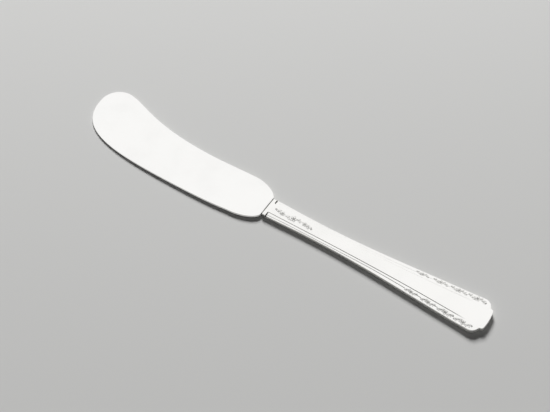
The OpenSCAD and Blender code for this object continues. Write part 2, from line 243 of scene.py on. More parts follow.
def inset(path, distance):
    """The clockwise open path moved inwards; its two ends stay on the cut across the knife."""
    way = np.gradient(path, axis=0)
    way /= np.linalg.norm(way, axis=1, keepdims=True)
    inward = np.column_stack([way[:, 1], -way[:, 0]])
    inward[0], inward[-1] = (0, -np.sign(path[0, 1])), (0, -np.sign(path[-1, 1]))
    return path + distance * inward


# Meshes

def in_scene(name, data):
    """Object of a mesh, a camera or a lamp, linked to the scene."""
    made = bpy.data.objects.new(name, data)
    bpy.context.scene.collection.objects.link(made)
    return made


def new_mesh(name, points, edges, faces):
    mesh = bpy.data.meshes.new(name)
    mesh.from_pydata(points.tolist(), edges, faces)
    return mesh


def store(mesh, title, values, kind="FLOAT", key="value"):
    """Keeps a value for each point of a mesh."""
    attribute = mesh.attributes.new(title, kind, "POINT")
    attribute.data.foreach_set(key, np.asarray(values, np.float32).ravel())


def silver_mesh(name, verts, faces, tarnish, start):
    """Object with its mesh in metres in the row frame, and the tarnish of each point."""
    mesh = new_mesh(name, (np.asarray(verts) + (start, CENTRE_Y, 0)) * MM, [], faces)
    store(mesh, "tarnish", tarnish)
    return in_scene(name, mesh)


def close_and_smooth(piece, angle=CRISP_ANGLE):
    """Fills the flat cut, turns every face outwards and keeps the crisp edges crisp."""
    bm = bmesh.new()
    bm.from_mesh(piece.data)
    rims = [e for e in bm.edges if e.is_boundary]
    if rims:
        bmesh.ops.triangle_fill(bm, use_beauty=True, use_dissolve=False, edges=rims)
    bmesh.ops.recalc_face_normals(bm, faces=bm.faces)
    bm.to_mesh(piece.data)
    bm.free()
    piece.data.shade_smooth()
    piece.data.set_sharp_from_angle(angle=angle)


def skin(rings, columns):
    """Points and faces over open rings, and how many points the rings have; chords close the first
    ring, a lattice of columns the last."""
    count, size = len(rings), len(rings[0])
    half = (size - 1) // 2
    points = np.concatenate(rings)
    ids = np.arange(count * size).reshape(count, size)
    faces = []
    for low, high in zip(ids, ids[1:]):
        faces += np.column_stack([low[:-1], low[1:], high[1:], high[:-1]]).tolist()
    for i in range(half - 1):
        faces.append([ids[0, i], ids[0, size - 1 - i], ids[0, size - 2 - i], ids[0, i + 1]])
    faces.append([ids[0, half - 1], ids[0, half + 1], ids[0, half]])

    left, right = rings[-1][:half], rings[-1][:half:-1]
    shares = np.linspace(0, 1, columns + 1)[1:-1]
    inner = left[:, None] + (right - left)[:, None] * shares[None, :, None]
    inner_ids = count * size + np.arange(half * len(shares)).reshape(half, len(shares))
    rows = np.column_stack([ids[-1, :half], inner_ids, ids[-1, :half:-1]])
    for row, after in zip(rows, rows[1:]):
        faces += np.column_stack([row[:-1], after[:-1], after[1:], row[1:]]).tolist()
    faces += [[a, ids[-1, half], b] for a, b in zip(rows[-1], rows[-1][1:])]
    return np.concatenate([points, inner.reshape(-1, points.shape[1])]), faces, len(points)


def as_ring(path, z, tarnish=0.0):
    """Ring of a flat path: x, y, z and tarnish of each point."""
    ones = np.ones(len(path))
    return np.column_stack([path, ones * z, ones * tarnish])


# Blade

def blade_path():
    """Outline from the lower heel corner round the tip to the upper one, and the index of the tip."""
    def at(share, y):
        return np.array([share * BLADE_LEN, y])

    tip = at(0, TIP_LEVEL)
    belly, peak = at(BELLY_SHARE, -BELLY_DROP), at(PEAK_SHARE, TIP_RISE)
    hollow, shoulder = at(HOLLOW_SHARE, HOLLOW_RISE), at(SHOULDER_SHARE, SHOULDER_RISE)
    low_shoulder = at(SHOULDER_SHARE, -SHOULDER_DROP)
    low_heel, heel = at(1, -HEEL_W / 2), at(1, HEEL_W / 2)
    up = np.array([0, BLADE_LEN])
    lean = (low_shoulder - belly) / np.linalg.norm(low_shoulder - belly) * BLADE_LEN
    low = np.vstack([
        tip,
        curve(tip, tip - TIP_DOWN_SHARE * up, belly - at(BELLY_FRONT_SHARE, 0), belly),
        curve(belly, belly + at(BELLY_REAR_SHARE, 0),
              low_shoulder - SHOULDER_FRONT_SHARE * lean, low_shoulder),
        curve(low_shoulder, low_shoulder + SHOULDER_REAR_SHARE * lean,
              low_heel - HEEL_RISE_SHARE * up, low_heel),
    ])
    high = np.vstack([
        tip,
        curve(tip, tip + TIP_UP_SHARE * up, peak - at(PEAK_FRONT_SHARE, 0), peak),
        curve(peak, peak + at(PEAK_REAR_SHARE, 0), hollow - at(HOLLOW_FRONT_SHARE, 0), hollow),
        curve(hollow, hollow + at(HOLLOW_REAR_SHARE, 0),
              shoulder - at(SHOULDER_FRONT_SHARE, 0), shoulder),
        curve(shoulder, shoulder + at(SHOULDER_REAR_SHARE, 0), heel + HEEL_RISE_SHARE * up, heel),
    ])
    low, high = even_steps(low), even_steps(high)
    return np.vstack([low[:0:-1], high]), len(low) - 1


def even_steps(line):
    """The same line in even steps, with finer ones at the heel."""
    lengths = np.concatenate([[0], np.cumsum(np.linalg.norm(np.diff(line, axis=0), axis=1))])
    fine_from = lengths[-1] - HEEL_STEPS * HEEL_BEVEL / 2
    places = np.concatenate([
        np.linspace(0, fine_from, BLADE_STEPS, endpoint=False),
        np.linspace(fine_from, lengths[-1], HEEL_STEPS),
    ])
    return np.column_stack([np.interp(places, lengths, line[:, k]) for k in (0, 1)])


def tang_half_outline():
    """Upper edge of the tang from its root to its end, with the keying notches."""
    end_r = TANG_END_W / 4
    turns = np.linspace(0, math.pi, TANG_NOTCH_STEPS)
    line = [(0, TANG_W / 2)]
    for k in (1, 2):
        reach = COLLAR_LEN + k * NOTCH_PITCH
        edge = mix(TANG_W, TANG_END_W, reach / TANG_LEN) / 2
        line += [(reach - NOTCH_R * math.cos(a), edge - NOTCH_R * math.sin(a)) for a in turns]
    return line + [(TANG_LEN - end_r, TANG_END_W / 2), (TANG_LEN, TANG_END_W / 2 - end_r)]


def add_tang(verts, faces):
    """Adds the tang, which is open at its root; filling the flat cut joins it to the heel."""
    line = tang_half_outline()
    n, first = len(line), len(verts)
    corners = [
        (BLADE_LEN + x, side * y, z)
        for z in (TANG_Z, TANG_Z + TANG_T) for side in (-1, 1) for x, y in line
    ]
    low_a, low_b, high_a, high_b = (first + k * n for k in range(4))
    for i in range(n - 1):
        faces += [[a + i, a + i + 1, b + i + 1, b + i] for a, b in (
            (low_a, low_b), (high_b, high_a), (low_a, high_a), (low_b, high_b))]
    faces.append([low_a + n - 1, low_b + n - 1, high_b + n - 1, high_a + n - 1])
    return np.vstack([verts, corners])


def nearest(points, line):
    """Distance from each point to the nearest point of a line."""
    return np.concatenate([
        np.sqrt(((chunk[:, None] - line[None]) ** 2).sum(2).min(1))
        for chunk in np.array_split(points, DISTANCE_CHUNKS)
    ])


def make_blade():
    """The blade with its rounded rim, its crowned upper face, the bevel at the heel and the tang."""
    path, tip = blade_path()
    span = np.linalg.norm(path - path[::-1], axis=1)
    side = np.where(np.arange(len(path)) < tip, -1, 1)
    share = path[:, 0] / BLADE_LEN
    lean = side * np.clip(span / (TIP_RISE + BELLY_DROP), 0, 1) * EDGE_TAPER / 2
    thick = mix(TIP_T, HEEL_T, share) + lean * (1 - share)
    rings = [
        as_ring(inset(path, RIM * (1 - math.cos(a))), thick * (1 + math.sin(a)) / 2)
        for a in np.linspace(-math.pi / 2, math.pi / 2, RIM_STEPS)
    ]
    points, faces, rim_count = skin(rings, BLADE_COLUMNS)
    depth = nearest(points[rim_count:, :2], path[::2]) - RIM
    points[rim_count:, 2] += CROWN * (1 - (1 - np.clip(depth / CROWN_W, 0, 1)) ** 2)
    near_heel = np.clip(1 - (BLADE_LEN - points[:, 0]) / HEEL_BEVEL, 0, 1)
    upper = np.clip(points[:, 2] / HEEL_T - 0.5, 0, 1) * 2
    points[:, 2] -= HEEL_BEVEL * near_heel * upper
    points[:, 3] = smooth(near_heel * HEEL_DARK) * upper
    verts = add_tang(points[:, :3], faces)
    tarnish = np.concatenate([points[:, 3], np.zeros(len(verts) - len(points))])
    blade = silver_mesh("blade_skin", verts, faces, tarnish, TIP_X)
    close_and_smooth(blade)
    return blade


# Collar

def rounded_box(width, height, low, radius):
    """Section seen along the knife: corner arcs, with points along the top and the bottom too."""
    y, z = width / 2 - radius, height / 2 - radius
    middle = low + height / 2

    def corner(side_y, side_z, start):
        centre = (side_y * y, middle + side_z * z)
        return arc(centre, radius, math.radians(start), math.pi / 2, CORNER_STEPS)

    reach = np.linspace(-y, y, SECTION_STEPS)[1:-1]
    top = np.column_stack([reach, np.full(len(reach), low + height)])
    bottom = np.column_stack([-reach, np.full(len(reach), low)])
    right = [corner(1, 1, 90), corner(1, -1, 0)]
    left = [corner(-1, -1, -90), corner(-1, 1, 180)]
    return np.vstack([*right, bottom, *left, top])


def tick_share(reach):
    """How far the joint behind the collar is open and dark: not over the panel, fully at the sides."""
    return smooth((reach - TICK_FROM) / TICK_RISE)


def make_collar():
    """A band pierced for the tang: rings out over the band and back through the slot."""
    section = rounded_box(NECK_W, NECK_T, 0, COLLAR_R)
    slot = rounded_box(TANG_W + 2 * FIT_GAP, TANG_T + 2 * FIT_GAP, TANG_Z - FIT_GAP, FIT_GAP)
    ticks = tick_share(np.abs(section[:, 0]))

    def station(x, bevel, share, kept):
        """Section at x, where the share goes from 0 at the band's end to 1 where its bevel has run out."""
        cut = bevel * (1 - math.sqrt(1 - (1 - share) ** 2)) * kept
        z = section[:, 1] * (1 - cut / NECK_T)
        y = section[:, 0] * (1 - 2 * cut / NECK_W)
        tarnish = smooth((1 - share) * BEVEL_DARK) * kept * (z > NECK_T * DARK_FROM_SHARE)
        return np.column_stack([np.full(len(z), x), y, z, tarnish])

    shares = np.linspace(0, 1, BEVEL_STEPS)
    rings = [station(share * HEEL_LINE_W, HEEL_LINE_W, share, 1.0) for share in shares]
    rings += [
        station(COLLAR_LEN - share * COLLAR_BEVEL, COLLAR_BEVEL, share, ticks) for share in shares[::-1]
    ]
    for x in (COLLAR_LEN, 0):
        rings.append(np.column_stack([np.full(len(slot), x), slot, np.zeros(len(slot))]))
    points = np.concatenate(rings)
    ids = np.arange(len(points)).reshape(len(rings), len(section))
    faces = []
    for low, high in zip(ids, np.roll(ids, -1, axis=0)):
        faces += np.column_stack([low, np.roll(low, -1), np.roll(high, -1), high]).tolist()
    collar = silver_mesh("collar_band", points[:, :3], faces, points[:, 3], HEEL_X)
    close_and_smooth(collar)
    return collar


# Handle outline and border

LOBE_X = HANDLE_LEN - LOBE_BACK
WAIST = (WAIST_SHARE * HANDLE_LEN, WAIST_W / 2)
LOBE = (LOBE_X, END_W / 2)
side_line = np.vstack([
    (0, NECK_W / 2),
    curve((0, NECK_W / 2), (NECK_HOLD_SHARE * HANDLE_LEN, NECK_W / 2),
          (WAIST[0] - WAIST_FRONT_SHARE * HANDLE_LEN, WAIST[1]), WAIST),
    curve(WAIST, (WAIST[0] + WAIST_REAR_SHARE * HANDLE_LEN, WAIST[1]),
          (LOBE_X - LOBE_HOLD_SHARE * HANDLE_LEN, LOBE[1] - LOBE_SLOPE_SHARE * (END_W - WAIST_W) / 2),
          LOBE),
])
spray_places = SPRAY_FIRST_X + SPRAY_PITCH * np.arange(SPRAY_COUNT)
spray_sizes = np.linspace(SPRAY_FIRST_SIZE, SPRAY_LAST_SIZE, SPRAY_COUNT)
NECK_ZONE_END = 2 * NECK_SPRAY_X
SPRAY_ZONE_START = SPRAY_FIRST_X - SPRAY_PITCH


def half_width(x):
    return np.interp(x, side_line[:, 0], side_line[:, 1])


def handle_path():
    """Outline from the upper neck corner round the end to the lower one, fine where there are sprays."""
    places = np.concatenate([
        np.arange(0, NECK_ZONE_END, FINE_STEP),
        np.arange(NECK_ZONE_END, SPRAY_ZONE_START, COARSE_STEP),
        np.arange(SPRAY_ZONE_START, LOBE_X, FINE_STEP),
    ])
    side = np.column_stack([places, half_width(places)])
    lobe = arc((LOBE_X, END_W / 2 - LOBE_R), LOBE_R, math.pi / 2, LOBE_SWEEP, LOBE_STEPS)
    notch = np.array([HANDLE_LEN - TONGUE_LEN, TONGUE_W / 2 + NOTCH_STEP])
    corner_centre = (HANDLE_LEN - END_BOW - TONGUE_R, TONGUE_W / 2 - TONGUE_R)
    corner = arc(corner_centre, TONGUE_R, math.pi / 2, CORNER_SWEEP, TONGUE_STEPS)
    to_notch = np.linspace(lobe[-1], notch, NOTCH_SIDE_STEPS)[1:]
    to_corner = np.linspace(notch, corner[0], TONGUE_SIDE_STEPS)[1:-1]
    last = corner[-1]
    bow_y = np.linspace(last[1], 0, BOW_STEPS)[1:]
    bow = np.column_stack([mix(HANDLE_LEN, last[0], (bow_y / last[1]) ** 2), bow_y])
    upper = np.vstack([side, lobe, to_notch, to_corner, corner, bow])
    return np.vstack([upper, upper[-2::-1] * (1, -1)])


def handle_top(x):
    """Height of the panel, which rises from the neck to the end and is never above the CAD's."""
    return np.minimum(mix(NECK_T, END_T, x / HANDLE_LEN), front_high[2])


def relief_left(x):
    """Share of the relief that is left, which runs out before the handle end."""
    return smooth((HANDLE_LEN - RELIEF_BACK - x) / RELIEF_FADE)


def panel_half(x):
    """Half width of the panel, to the inner line."""
    run = x / (HANDLE_LEN - RELIEF_BACK - RELIEF_FADE / 2)
    flare = np.maximum(0, (run - PANEL_FROM_SHARE) / (1 - PANEL_FROM_SHARE)) ** PANEL_POWER
    return mix(PANEL_NECK_W, PANEL_END_W, flare) / 2


def outer_half(x):
    """Half width to the middle of the outer line."""
    flare = smooth((x / HANDLE_LEN - OUTER_FROM_SHARE) / OUTER_RUN_SHARE)
    neck_flare = 1 - smooth(x / HANDLE_LEN / NECK_RUN_SHARE)
    return (mix(OUTER_WAIST_W, OUTER_END_W, flare) + (OUTER_NECK_W - OUTER_WAIST_W) * neck_flare) / 2


def line_kept(x):
    """Share of the outer line that is left beside the sprays."""
    kept = np.ones_like(x)
    for place, size in zip(spray_places, spray_sizes):
        kept *= smooth((np.abs(x - place) - BORDER_REACH * size) / LINE_END)
    return kept


def border_drop(x, reach):
    """Drop of the border below the panel at a distance from the centreline, without the lines."""
    outer, panel = outer_half(x), panel_half(x)
    steps = [panel, panel + LINE_W, (panel + outer) / 2, outer - LINE_W / 2, outer + LINE_W / 2]
    drops = [0, BEAD_DROP, BEAD_DROP - BEAD_CROWN, BEAD_DROP, STRIP_DROP]
    return np.interp(reach, steps, drops)


def wall_tarnish(out, wall, fade):
    """Tarnish of a struck line at a distance outside its edge: on the steep wall, fading beside it."""
    return smooth(2 * out / LINE_CRISP) * (1 - smooth((out - wall) / fade))


def border_rings(path):
    """Rings over the front from the strip's outer edge in to the panel."""
    here = np.minimum(path[:, 0], LOBE_X)
    half = half_width(here)
    draw = END_DRAW_SHARE * np.maximum(0, path[:, 0] - LOBE_X)
    outer, panel = outer_half(here) - LINE_W / 2, panel_half(here)
    run, kept = here / HANDLE_LEN, line_kept(here)
    inner_wall = mix(INNER_NECK_WALL, INNER_END_WALL, run)

    def ring(reach, drop):
        share = reach / half
        x = path[:, 0] - (1 - share) * draw
        return np.column_stack([x, path[:, 1] * share, handle_top(x) - drop * relief_left(x), reach])

    line_floor = mix((STRIP_DROP + BEAD_DROP) / 2, OUTER_LINE_DEPTH, kept)
    bead = [
        ring(mix(outer, panel + LINE_W, t), BEAD_DROP - BEAD_CROWN * math.sin(math.pi * t))
        for t in np.linspace(0, 1, BEAD_STEPS)
    ]
    rings = softened([
        ring(half, STRIP_DROP),
        ring(outer + LINE_W, STRIP_DROP),
        ring(outer + OUTER_WALL, line_floor),
        *bead,
        ring(panel + inner_wall, mix(INNER_NECK_DEPTH, INNER_END_DEPTH, run)),
        ring(panel, 0),
    ], EDGE_SOFTNESS)[1:]
    inner_dark, inner_fade = mix(INNER_NECK_DARK, 1, run), mix(INNER_NECK_FADE, INNER_END_FADE, run)
    darker = smooth((run - DARKER_FROM_SHARE) / DARKER_RUN_SHARE)
    outer_dark = mix(OUTER_NECK_DARK, OUTER_END_DARK, darker) * kept
    outer_fade = mix(OUTER_NECK_FADE, OUTER_END_FADE, run)
    for one in rings:
        inner_line = inner_dark * wall_tarnish(one[:, 3] - panel, inner_wall, inner_fade)
        outer_line = outer_dark * wall_tarnish(one[:, 3] - outer, OUTER_WALL, outer_fade)
        one[:, 3] = np.maximum(inner_line, outer_line) * relief_left(one[:, 0] + LINE_LEAD)
    return rings


def towards(ring, other, distance):
    """Moves each point of a ring towards its neighbour on another ring, at most nearly half way."""
    gap = np.linalg.norm((other - ring)[:, :3], axis=1, keepdims=True)
    return ring + (other - ring) * np.minimum(distance / np.maximum(gap, SMALLEST_GAP), MOST_SOFTENED)


def softened(rings, distance):
    """Rounds the edge that each inner ring makes with its neighbours."""
    out = [rings[0]]
    for before, here, after in zip(rings, rings[1:], rings[2:]):
        a, b = towards(here, before, distance), towards(here, after, distance)
        out += [a, (a + 2 * here + b) / 4, b]
    return out + [rings[-1]]


def filled(rings):
    """Adds rings where two neighbours lie far apart."""
    out = [rings[0]]
    for a, b in zip(rings, rings[1:]):
        gap = np.linalg.norm((b - a)[:, :3], axis=1).max()
        steps = max(1, math.ceil(gap / WIDEST_RING_GAP))
        out += [mix(a, b, k / steps) for k in range(1, steps + 1)]
    return out


def bevel_neck(points):
    """Takes the sharp edge off the shell's end at the neck."""
    near = np.clip(1 - points[:, 0] / NECK_BEVEL, 0, 1) * tick_share(np.abs(points[:, 1]))
    points[:, 2] -= NECK_BEVEL * near
    points[:, 1] *= 1 - 2 * NECK_BEVEL * near / NECK_W
    points[:, 3] = np.maximum(points[:, 3], near)


# Sprays: each mark is x, y, turn, half length, half width, whether it is a pointed leaf, and how dark
# the ground beside it is

def flower(u, v, radius):
    """Five petals round a small heart in a dark ring."""
    petals = []
    out, width = PETAL_OUT * radius, PETAL_W * radius
    for a in math.tau / PETALS * np.arange(PETALS) + PETAL_TURN:
        x, y = u + out * math.cos(a), v + out * math.sin(a)
        petals.append([x, y, a, radius - out, width, 0, PETAL_SHADE])
    return petals + [[u, v, 0, HEART * radius, HEART * radius, 0, HEART_SHADE]]


def leaf(u, v, turn, length):
    return [u, v, turn, length, LEAF_W * length, 1, LEAF_SHADE]


def stem(length, height):
    """Stem that leaves the flower, swings to both sides and ends at the bud."""
    t = np.linspace(STEM_FROM, 1, STEM_STEPS)
    return np.column_stack([length * t, height * np.sin(STEM_SWEEP * t)])


def spray(reach, heart, leaves, side_flower):
    """A flower with a stem to each side; leaves are their share of the reach, their side and their turn."""
    marks, stems = flower(0, 0, heart), []
    for way in (-1, 1):
        line = stem(way * reach, way * STEM_SWING * heart)
        for share, side, turn in leaves:
            bow = np.interp(share * reach, np.abs(line[:, 0]), line[:, 1])
            v = bow + way * side * LEAF_OUT * heart
            marks.append(leaf(way * share * reach, v, way * side * turn, LEAF_LEN * heart))
        if side_flower:
            u, v = line[len(line) // 2]
            marks += flower(u, v, side_flower)
        marks.append([*line[-1], 0, BUD * heart, BUD * heart, 0, HEART_SHADE])
        stems.append(line)
    return np.array(marks, float), stems


def border_spray():
    return spray(BORDER_REACH, BORDER_HEART, BORDER_LEAVES, 0)


def neck_spray():
    return spray(NECK_REACH, NECK_HEART, NECK_LEAVES, NECK_SIDE_HEART)


def set_down(marks, stems, place, turn, size, mirror=1):
    """Turns and scales a spray and sets it down at a place on the handle, mirrored for the lower side."""
    way = np.array([[math.cos(turn), math.sin(turn)], [-math.sin(turn), math.cos(turn)]])
    out = marks.copy()
    out[:, :2] = marks[:, :2] * size @ way + place
    out[:, 2] += turn
    out[:, 3:5] *= size
    out[:, 1:3] *= mirror
    return out, [(line * size @ way + place) * (1, mirror) for line in stems]


def border_marks():
    """The sprays along both sides of the border, in line with the outer line."""
    marks, stems = [], []
    for x, size in zip(spray_places, spray_sizes):
        slope = math.atan2(outer_half(x + 1) - outer_half(x - 1), 2)
        for mirror in (1, -1):
            more, lines = set_down(*border_spray(), (x, outer_half(x) + SPRAY_OUT), slope, size, mirror)
            marks.append(more)
            stems += lines
    return np.vstack(marks), stems


def ground(points, marks, stems):
    """How deep each point lies in the ground round the marks, and how dark it is there, from 0 to 1."""
    depth, dark = np.zeros(len(points)), np.zeros(len(points))

    def sink(outside, shade):
        near = np.exp(-(np.maximum(0, outside) / GROUND_REACH) ** 2)
        np.maximum(depth, near, out=depth)
        np.maximum(dark, shade * near, out=dark)

    for x, y, turn, length, width, _, shade in marks:
        u = (points[:, 0] - x) * math.cos(turn) + (points[:, 1] - y) * math.sin(turn)
        v = (points[:, 1] - y) * math.cos(turn) - (points[:, 0] - x) * math.sin(turn)
        radius = np.hypot(u / length, v / width)
        sink((radius - 1) * math.sqrt(length * width), shade)
    for line in stems:
        outside = np.full(len(points), np.inf)
        close = np.abs(points[:, 0] - line[:, 0].mean()) < np.ptp(line[:, 0])
        outside[close] = nearest(points[close, :2], line) - STEM_R
        sink(outside, STEM_SHADE)
    return depth, dark


def room_rings(path, far_z, side):
    """Rings of a shell from the flat far side of its room round the seam to the foot of its outer side."""
    room = inset(path, SIDE_WALL)
    return [
        as_ring(room, far_z),
        as_ring(room, SEAM_Z),
        as_ring(inset(path, SEAM_BEVEL), SEAM_Z, 1.0),
        as_ring(path, SEAM_Z + side * SEAM_BEVEL, SIDE_TARNISH),
    ]


def make_front(sprays):
    """The struck front shell: room inside, side, rounded edge, lined border and panel."""
    path = handle_path()

    def hung(path_in, drop):
        x = path_in[:, 0]
        return as_ring(path_in, handle_top(x) - drop - STRIP_DROP * relief_left(x))

    edge = [
        hung(inset(path, FRONT_EDGE_W * (1 - math.cos(a))), FRONT_EDGE_H * (1 - math.sin(a)))
        for a in np.linspace(0, math.pi / 2, FRONT_EDGE_STEPS)
    ]
    edge[0][:, 3] = SIDE_TARNISH
    inside = room_rings(path, ROOF_Z, 1)
    top = filled([edge[-1]] + border_rings(path))[1:]
    points, faces, _ = skin(inside + edge + top, PANEL_COLUMNS)
    upper = points[len(path) * (len(inside) + len(edge)):]
    for marks, stems in sprays:
        depth, dark = ground(upper, marks, stems)
        upper[:, 2] -= GROUND_DIP * depth
        upper[:, 3] = np.maximum(upper[:, 3], dark)
    bevel_neck(points[len(path) * (len(inside) - 1):])
    front = silver_mesh("front_shell", points[:, :3], faces, points[:, 3], NECK_X)
    close_and_smooth(front, BORDER_CRISP_ANGLE)
    return front


def make_back():
    """The plain back shell: room inside, seam, side, rounded edge and flat underside."""
    path = handle_path()
    edge = [
        as_ring(inset(path, BACK_EDGE_R * (1 - math.cos(a))), BACK_EDGE_R * (1 - math.sin(a)))
        for a in np.linspace(0, math.pi / 2, BACK_EDGE_STEPS)
    ]
    points, faces, _ = skin(room_rings(path, BACK_WALL, -1) + edge, BACK_COLUMNS)
    back = silver_mesh("back_shell", points[:, :3], faces, points[:, 3], NECK_X)
    close_and_smooth(back)
    return back


# Node trees

def feed(tree, target, values):
    """Links inputs of a node to outputs, or gives them plain values; they go by name or place."""
    for key, value in values.items():
        if isinstance(value, bpy.types.NodeSocket):
            tree.links.new(value, target.inputs[key])
        else:
            target.inputs[key].default_value = value


def node(tree, kind, inputs=None, **settings):
    """New node with its settings and its inputs."""
    made = tree.nodes.new(kind)
    for name, value in settings.items():
        setattr(made, name, value)
    feed(tree, made, inputs or {})
    return made


def calc(tree, operation, *terms, clamp=False):
    """Output of a Math node."""
    settings = {"operation": operation, "use_clamp": clamp}
    return node(tree, "ShaderNodeMath", dict(enumerate(terms)), **settings).outputs[0]


def ramp(tree, value, low, high):
    """Smooth step from 0 at low to 1 at high."""
    ends = {"Value": value, "From Min": low, "From Max": high}
    return node(tree, "ShaderNodeMapRange", ends, interpolation_type="SMOOTHSTEP").outputs["Result"]


def shift(tree, factor, low, high):
    """Number that goes from low to high with the factor."""
    ends = {"Value": factor, "To Min": low, "To Max": high}
    return node(tree, "ShaderNodeMapRange", ends).outputs["Result"]


def tint(tree, factor, low, high):
    """Colour that goes from low to high with the factor."""
    made = node(tree, "ShaderNodeMix", data_type="RGBA")
    places = {socket.identifier: k for k, socket in enumerate(made.inputs)}
    feed(tree, made, {places["Factor_Float"]: factor, places["A_Color"]: low, places["B_Color"]: high})
    return next(s for s in made.outputs if s.identifier == "Result_Color")


def noise(tree, vector, scale, detail):
    inputs = {"Vector": vector, "Scale": scale, "Detail": detail}
    return node(tree, "ShaderNodeTexNoise", inputs).outputs["Fac"]


def new_group(name, kind, inputs, outputs):
    """Empty node group with named sockets, and its two end nodes."""
    tree = bpy.data.node_groups.new(name, kind)
    for title, socket, value in inputs:
        made = tree.interface.new_socket(title, in_out="INPUT", socket_type="NodeSocket" + socket)
        if value is not None:
            made.default_value = value
    for title, socket in outputs:
        tree.interface.new_socket(title, in_out="OUTPUT", socket_type="NodeSocket" + socket)
    return tree, node(tree, "NodeGroupInput"), node(tree, "NodeGroupOutput")


def new_material(name):
    """Material with nodes, its tree and its surface."""
    material = bpy.data.materials.new(name)
    material.use_nodes = True
    return material, material.node_tree, material.node_tree.nodes["Principled BSDF"]


def hairlines_group():
    """Fine hairline scratches in three directions, and the slow waves of a hand-polished surface."""
    tree, given, made = new_group(
        "hairlines", "ShaderNodeTree",
        [("Position", "Vector", None), ("Wear", "Float", 0.5)],
        [("Height", "Float"), ("Dulling", "Float")],
    )
    place = given.outputs["Position"]
    total = 0.0
    for degrees, across in HAIRLINES:
        turned = node(tree, "ShaderNodeMapping", {
            "Vector": place, "Rotation": (0, 0, math.radians(degrees)),
            "Scale": (across / HAIRLINE_STRETCH, across, across),
        })
        value = noise(tree, turned.outputs["Vector"], 1.0, detail=3.0)
        off = calc(tree, "ABSOLUTE", calc(tree, "SUBTRACT", value, 0.5))
        line = calc(tree, "SUBTRACT", 1.0, ramp(tree, off, 0.0, HAIRLINE_W))
        total = calc(tree, "ADD", line, total)
    worn = ramp(tree, noise(tree, place, WEAR_SCALE, detail=3.0), WEAR_FROM, WEAR_TO)
    lines = calc(tree, "MULTIPLY", calc(tree, "MULTIPLY", total, worn), given.outputs["Wear"])
    waves = noise(tree, place, WAVE_SCALE, detail=1.0)
    cut = calc(tree, "MULTIPLY", lines, -HAIRLINE_DEPTH)
    feed(tree, made, {
        "Height": calc(tree, "MULTIPLY_ADD", waves, WAVE_HEIGHT, cut),
        "Dulling": calc(tree, "MULTIPLY", lines, HAIRLINE_DULLING),
    })
    return tree


def patina_group():
    """Silver that darkens where polish can't reach and is satin where it is slightly tarnished, with
    faint clouds on the open faces."""
    tree, given, made = new_group(
        "patina", "ShaderNodeTree",
        [("Position", "Vector", None), ("Tarnish", "Float", 0.0), ("Dulling", "Float", 0.0),
         ("Silver", "Color", (1, 1, 1, 1)), ("Sulphide", "Color", (0, 0, 0, 1)), ("Polish", "Float", 0.15)],
        [("Colour", "Color"), ("Roughness", "Float"), ("Metallic", "Float")],
    )
    place, tarnish = given.outputs["Position"], given.outputs["Tarnish"]
    uneven = shift(tree, noise(tree, place, GRIME_SCALE, detail=2.0), GRIME_LEAST, GRIME_MOST)
    dark = calc(tree, "MULTIPLY", ramp(tree, tarnish, TARNISH_FROM, TARNISH_TO), uneven, clamp=True)
    clouds = ramp(tree, noise(tree, place, CLOUD_SCALE, detail=4.0), CLOUD_FROM, CLOUD_TO)
    shade = calc(tree, "MAXIMUM", dark, shift(tree, clouds, 0.0, CLOUD_FILM))
    satin = calc(tree, "MAXIMUM", shade, ramp(tree, tarnish, SATIN_FROM, SATIN_TO))
    rough = calc(tree, "ADD", given.outputs["Polish"], given.outputs["Dulling"])
    feed(tree, made, {
        "Colour": tint(tree, shade, given.outputs["Silver"], given.outputs["Sulphide"]),
        "Roughness": shift(tree, satin, rough, SATIN_ROUGHNESS),
        "Metallic": shift(tree, dark, 1.0, TARNISH_METALLIC),
    })
    return tree


hairlines = hairlines_group()
patina = patina_group()


def silver(name, tone, polish, wear, relief):
    """Polished silver plate with dark patina in its recesses; relief is the height of its unevenness."""
    material, tree, surface = new_material(name)
    place = node(tree, "ShaderNodeTexCoord").outputs["Object"]
    tarnish = node(tree, "ShaderNodeAttribute", attribute_name="tarnish").outputs["Fac"]
    lines = node(tree, "ShaderNodeGroup", {"Position": place, "Wear": wear}, node_tree=hairlines)
    finish = node(tree, "ShaderNodeGroup", {
        "Position": place, "Tarnish": tarnish, "Dulling": lines.outputs["Dulling"],
        "Silver": (*tone, 1), "Sulphide": SULPHIDE, "Polish": polish,
    }, node_tree=patina)
    bump = node(tree, "ShaderNodeBump", {"Height": lines.outputs["Height"], "Distance": relief * MM})
    feed(tree, surface, {
        "Base Color": finish.outputs["Colour"], "Roughness": finish.outputs["Roughness"],
        "Metallic": finish.outputs["Metallic"], "Normal": bump.outputs["Normal"],
    })
    return material


def pitch():
    """Dark hard cement with grit and small voids, inside the handle."""
    material, tree, surface = new_material("dark_cement")
    grit = noise(tree, node(tree, "ShaderNodeTexCoord").outputs["Object"], GRIT_SCALE, detail=5.0)
    bump = node(tree, "ShaderNodeBump", {"Height": grit, "Distance": GRIT_RISE * MM})
    feed(tree, surface, {
        "Base Color": tint(tree, ramp(tree, grit, GRIT_FROM, GRIT_TO), CEMENT_DARK, CEMENT_LIGHT),
        "Roughness": shift(tree, grit, CEMENT_LEAST_ROUGHNESS, CEMENT_MOST_ROUGHNESS),
        "Normal": bump.outputs["Normal"],
    })
    return material


